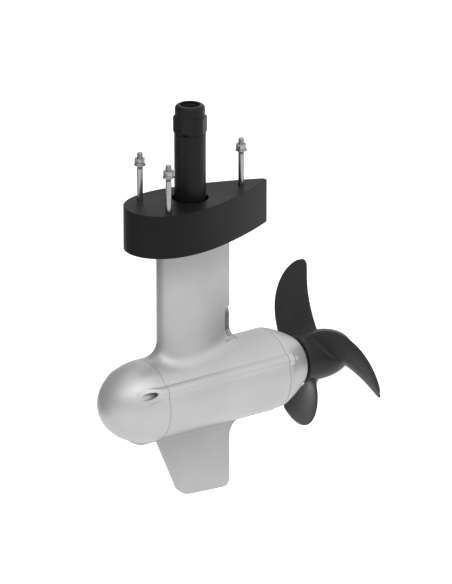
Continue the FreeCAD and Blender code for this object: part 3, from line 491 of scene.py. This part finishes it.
nodeFinish = {
    castAluminium: ["motor_housing", "nose_cap"],
    capAluminiumPaintedLighter: ["tail_cap"],
    spacerPlastic: ["spacer_block"],
    tubePlastic: ["cable_tube"],
    glandPlastic: ["gland_body", "gland_dome_nut"],
    rubber: ["gland_seal", "tube_o_ring", "nose_o_ring", "tail_o_ring", "shaft_seals"],
    stainless: ["nose_cap_screws", "tail_cap_screws", "hull_studs", "stud_nuts", "stud_washers",
                "stud_spring_washers", "anode_screw", "board_posts", "board_screws"],
    zinc: ["strut_anode"],
    propellerComposite: ["propeller"],
    shaftSteel: ["propeller_shaft", "thrust_washer", "drive_pin", "propeller_washer",
                 "propeller_nut", "split_pin", "stator_snap_ring", "rotor_snap_ring"],
    bearingSteel: ["front_bearing_outer_race", "front_bearing_inner_race", "front_bearing_balls",
                   "rear_bearing_outer_race", "rear_bearing_inner_race", "rear_bearing_balls"],
    cageBrass: ["front_bearing_cage", "rear_bearing_cage"],
    lamination: ["stator_core", "rotor_core"],
    copper: ["stator_windings"],
    magnetNickel: ["rotor_magnets"],
    boardGreen: ["controller_board"],
    canAluminium: ["board_capacitors"],
    packagePlastic: ["power_transistors"],
}


def dressNodes():
    dressed = set()
    for material, names in nodeFinish.items():
        for name in names:
            part = nodes[name]
            if not part.material_slots:
                part.data.materials.append(material)
            for slot in part.material_slots:
                slot.material = material
            dressed.add(name)
    print("nodes dressed:", len(dressed), "left:", sorted(set(nodes) - dressed))


dressNodes()


# a fastener of the hull, of stainless steel, in place of the plain node
def finish(piece, name, replaced):
    piece.name = name
    piece.data.name = name
    piece.data.materials.clear()
    piece.data.materials.append(stainless)
    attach(piece, "drive")
    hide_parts(replaced)


# a face looks up where its normal's height is above the first, and a point lies on a circle or in
# a plane where it is nearer than the second
upward = 0.9
near = 0.00002

# hull studs: plain shank through the hull, rolled thread under and above the nut
studPlan = {"radius": 0.004, "foot": -0.059, "tip": 0.0665, "chamfer": 0.0008, "sides": 48,
            "threadFrom": 0.0440, "threadPast": 0.0012, "pitch": 0.00125, "turnSteps": 32,
            "cutDeep": 0.00062, "cutHigh": 0.00056, "smooth": 32,
            "places": [(-0.0595, 0.0323), (-0.0595, -0.0323), (0.0855, 0.0)]}


def modelStud(plan):
    deselectAll()
    bpy.ops.mesh.primitive_cylinder_add(vertices=plan["sides"], radius=plan["radius"],
                                        depth=plan["tip"] - plan["foot"],
                                        location=(0, 0, (plan["tip"] + plan["foot"]) / 2))
    rod = applyPlace(newest("stud"))
    pickFaces(rod, lambda middle, normal: normal.z > upward)
    bpy.ops.mesh.bevel(offset=plan["chamfer"], segments=1, affect="EDGES")
    endEdit()
    deselectAll()
    # a four sided ring wound up the rod cuts the thread
    turns = math.ceil((plan["tip"] + plan["threadPast"] - plan["threadFrom"]) / plan["pitch"])
    bpy.ops.mesh.primitive_circle_add(vertices=4, radius=1, fill_type="NOTHING",
                                      rotation=(math.pi / 2, 0, 0),
                                      location=(plan["radius"], 0, plan["threadFrom"]))
    cutter = newest("threadCutter")
    cutter.scale = (plan["cutDeep"], plan["cutHigh"], 1)
    applyPlace(cutter)
    wind = cutter.modifiers.new("wind", "SCREW")
    wind.axis = "Z"
    wind.screw_offset = plan["pitch"]
    wind.iterations = turns
    wind.steps = plan["turnSteps"]
    wind.render_steps = plan["turnSteps"]
    bpy.ops.object.modifier_apply(modifier=wind.name)
    pickPoints(cutter, lambda place: True)
    bpy.ops.mesh.select_all(action="SELECT")
    bpy.ops.mesh.remove_doubles(threshold=turnGap)
    bpy.ops.mesh.fill_holes(sides=4)
    bpy.ops.mesh.select_all(action="SELECT")
    bpy.ops.mesh.normals_make_consistent(inside=False)
    endEdit()
    carve(rod, cutter)
    cleanMesh(rod)
    return smoothBy(rod, plan["smooth"])


def placeStuds():
    master = modelStud(studPlan)
    for k, (x, y) in enumerate(studPlan["places"]):
        finish(copyAt(master, x, y), "threaded_stud_" + str(k + 1), "hull_studs")
    bpy.data.objects.remove(master)


placeStuds()
print("studs made")


# hexagon nuts with both faces turned to a chamfer
nutPlan = {"across": 0.013, "height": 0.0065, "base": 0.0526, "turn": 12.0, "smooth": 30,
           "bore": 0.00405, "boreSides": 48, "boreChamfer": 0.00035,
           "faceShare": 0.95, "slope": 30.0, "turnedSides": 72, "turnedSpare": 0.0004,
           "edge": 0.00012, "edgeAngle": 25, "edgeSteps": 2}


def modelNut(plan):
    deselectAll()
    corner = plan["across"] / 2 / math.cos(math.radians(30))
    middle = plan["base"] + plan["height"] / 2
    bpy.ops.mesh.primitive_cylinder_add(vertices=6, radius=corner, depth=plan["height"],
                                        location=(0, 0, middle),
                                        rotation=(0, 0, math.radians(plan["turn"])))
    nut = applyPlace(newest("nut"))
    deselectAll()
    # a disc with both edges turned off leaves the hexagon its chamfers
    wide = corner + plan["turnedSpare"]
    bpy.ops.mesh.primitive_cylinder_add(vertices=plan["turnedSides"], radius=wide,
                                        depth=plan["height"], location=(0, 0, middle))
    turned = applyPlace(newest("nutTurned"))
    inward = wide - plan["across"] / 2 * plan["faceShare"]
    drop = inward * math.tan(math.radians(plan["slope"]))
    for side in (1, -1):
        pickFaces(turned, lambda place, normal: normal.z * side > upward)
        bpy.ops.mesh.inset(thickness=inward)
        endEdit()
        pickPoints(turned, lambda place: radiusOf(place) > wide - near
                   and (place.z - middle) * side > 0)
        bpy.ops.transform.translate(value=(0, 0, -drop * side))
        endEdit()
    carve(nut, turned, "INTERSECT")
    deselectAll()
    bpy.ops.mesh.primitive_cylinder_add(vertices=plan["boreSides"], radius=plan["bore"],
                                        depth=plan["height"] * 2, location=(0, 0, middle))
    carve(nut, applyPlace(newest("nutBore")))
    cleanMesh(nut)
    pickEdges(nut, lambda a, b: abs(radiusOf(a) - plan["bore"]) < near
              and abs(radiusOf(b) - plan["bore"]) < near and abs(a.z - b.z) < near)
    bpy.ops.mesh.bevel(offset=plan["boreChamfer"], segments=1, affect="EDGES")
    endEdit()
    easeEdges(nut, plan["edge"], plan["edgeAngle"], plan["edgeSteps"])
    return smoothBy(nut, plan["smooth"])


def placeNuts():
    master = modelNut(nutPlan)
    for k, (x, y) in enumerate(studPlan["places"]):
        finish(copyAt(master, x, y), "hexagon_nut_" + str(k + 1), "stud_nuts")
    bpy.data.objects.remove(master)


placeNuts()
print("nuts made")


# flat washers and split spring washers: a small section turned about the stud
washerPlan = {"inner": 0.0042, "outer": 0.008, "base": 0.049, "height": 0.0016, "ease": 0.0003,
              "easeSteps": 2, "angle": 360.0, "steps": 64, "smooth": 32}
springPlan = dict(washerPlan, outer=0.007, base=0.0506, height=0.002, ease=0.00025, angle=348.0)


def turnRing(plan, name):
    deselectAll()
    wide = plan["outer"] - plan["inner"]
    bpy.ops.mesh.primitive_plane_add(size=1, rotation=(math.pi / 2, 0, 0),
                                     location=(plan["inner"] + wide / 2, 0,
                                               plan["base"] + plan["height"] / 2))
    ring = newest(name)
    ring.scale = (wide, plan["height"], 1)
    applyPlace(ring)
    pickPoints(ring, lambda place: True)
    bpy.ops.mesh.select_all(action="SELECT")
    bpy.ops.mesh.bevel(offset=plan["ease"], segments=plan["easeSteps"], affect="VERTICES")
    bpy.ops.mesh.select_all(action="SELECT")
    bpy.ops.mesh.delete(type="ONLY_FACE")
    bpy.ops.mesh.select_all(action="SELECT")
    bpy.ops.mesh.spin(steps=plan["steps"], angle=math.radians(plan["angle"]), center=(0, 0, 0),
                      axis=(0, 0, 1))
    bpy.ops.mesh.select_all(action="SELECT")
    bpy.ops.mesh.remove_doubles(threshold=turnGap)
    if plan["angle"] < 360:
        bpy.ops.mesh.fill_holes(sides=0)
        bpy.ops.mesh.select_all(action="SELECT")
    bpy.ops.mesh.normals_make_consistent(inside=False)
    endEdit()
    return smoothBy(ring, plan["smooth"])


def placeRings():
    for plan, name, node in ((washerPlan, "flat_washer_", "stud_washers"),
                             (springPlan, "spring_washer_", "stud_spring_washers")):
        master = turnRing(plan, name)
        for k, (x, y) in enumerate(studPlan["places"]):
            finish(copyAt(master, x, y), name + str(k + 1), node)
        bpy.data.objects.remove(master)


placeRings()
print("washers made")


# studio: pale floor well below, white all round, soft boxes ahead, above and to starboard, and
# grey flags to port and aft for the metal to reflect. A box or a flag: azimuth, elevation,
# distance, width, height, and then a box's power or a flag's tone.
studio = {"middle": (0.05, 0.0, -0.15), "sky": 0.62, "sight": 1.0,
          "floorZ": -0.78, "floorWide": 14.0, "floorTones": (0.86, 0.90), "floorRough": 0.8,
          "floorGrain": 60.0, "floorCloud": 1.5, "floorGlow": 0.8, "floorWhite": 1.55,
          "flagRough": 0.9,
          "flags": [(-158.0, 15.0, 1.8, 3.2, 3.0, 0.55), (-138.0, -18.0, 1.2, 1.5, 0.42, 0.55),
                    (-100.0, 14.0, 2.2, 1.4, 1.2, 0.85)],
          "boxes": [(-40.0, 52.0, 2.5, 3.0, 0.9, 15.0), (35.0, 25.0, 2.8, 1.6, 1.6, 4.0),
                    (-10.0, 78.0, 2.5, 1.6, 1.6, 5.0)]}


def mixShaders(tree, share, first, second):
    return put(tree, "ShaderNodeMixShader", None, (share, first, second)).outputs[0]


# shown is what the camera and mirrors see, hidden is what lights the part
def whiteForSight(tree, shown, hidden):
    path = tree.nodes.new("ShaderNodeLightPath").outputs
    seen = sums(tree, "ADD", path["Is Camera Ray"], path["Is Glossy Ray"])
    seen = sums(tree, "ADD", seen, path["Is Transmission Ray"])
    return mixShaders(tree, sums(tree, "MINIMUM", seen, 1.0), hidden, shown)


def makeFloor(plan):
    deselectAll()
    bpy.ops.mesh.primitive_plane_add(size=plan["floorWide"], location=(0, 0, plan["floorZ"]))
    floor = applyPlace(newest("floor"))
    material, tree, shader, place = newMaterial("paleFloor", Roughness=plan["floorRough"])
    skin = useGroup(tree, skinGroup, Place=place, Grain=plan["floorGrain"],
                    Cloud=plan["floorCloud"])
    dark, light = plan["floorTones"]
    feed(tree, shader.inputs["Base Color"],
         blendColours(tree, skin.outputs["Cloud Tone"], grey(dark), grey(light)))
    glow = put(tree, "ShaderNodeEmission", Color=grey(1.0), Strength=plan["floorWhite"])
    # most of the white is light of its own, the rest still takes the shadow
    pale = mixShaders(tree, plan["floorGlow"], shader.outputs[0], glow.outputs[0])
    out = tree.nodes["Material Output"]
    feed(tree, out.inputs["Surface"], whiteForSight(tree, pale, shader.outputs[0]))
    floor.data.materials.append(material)


# puts a lamp or a flag round the part, facing it
def aimAtPart(piece, plan, azimuth, elevation, distance):
    way = wayOut(azimuth, elevation)
    piece.location = way * distance + Vector(plan["middle"])
    piece.rotation_euler = way.to_track_quat("Z", "Y").to_euler()


def makeFlags(plan):
    for azimuth, elevation, distance, wide, high, tone in plan["flags"]:
        deselectAll()
        bpy.ops.mesh.primitive_plane_add(size=1)
        flag = newest("flag")
        flag.scale = (wide, high, 1)
        aimAtPart(flag, plan, azimuth, elevation, distance)
        applyPlace(flag)
        cloth = newMaterial("flagCloth", Base_Color=grey(tone), Roughness=plan["flagRough"])[0]
        flag.data.materials.append(cloth)
        flag.visible_camera = False


def makeWorld(plan):
    world = bpy.data.worlds.new("studio")
    scene.world = world
    world.use_nodes = True
    tree = world.node_tree
    tree.nodes.clear()
    shown = put(tree, "ShaderNodeBackground", Color=grey(1.0), Strength=plan["sight"])
    hidden = put(tree, "ShaderNodeBackground", Color=grey(1.0), Strength=plan["sky"])
    out = tree.nodes.new("ShaderNodeOutputWorld")
    feed(tree, out.inputs["Surface"], whiteForSight(tree, shown.outputs[0], hidden.outputs[0]))


def makeLamps(plan):
    for azimuth, elevation, distance, wide, high, power in plan["boxes"]:
        bpy.ops.object.light_add(type="AREA")
        lamp = bpy.context.active_object
        aimAtPart(lamp, plan, azimuth, elevation, distance)
        lamp.data.shape = "RECTANGLE"
        lamp.data.size = wide
        lamp.data.size_y = high
        lamp.data.energy = power


makeFloor(studio)
makeFlags(studio)
makeWorld(studio)
makeLamps(studio)
print("studio lit")
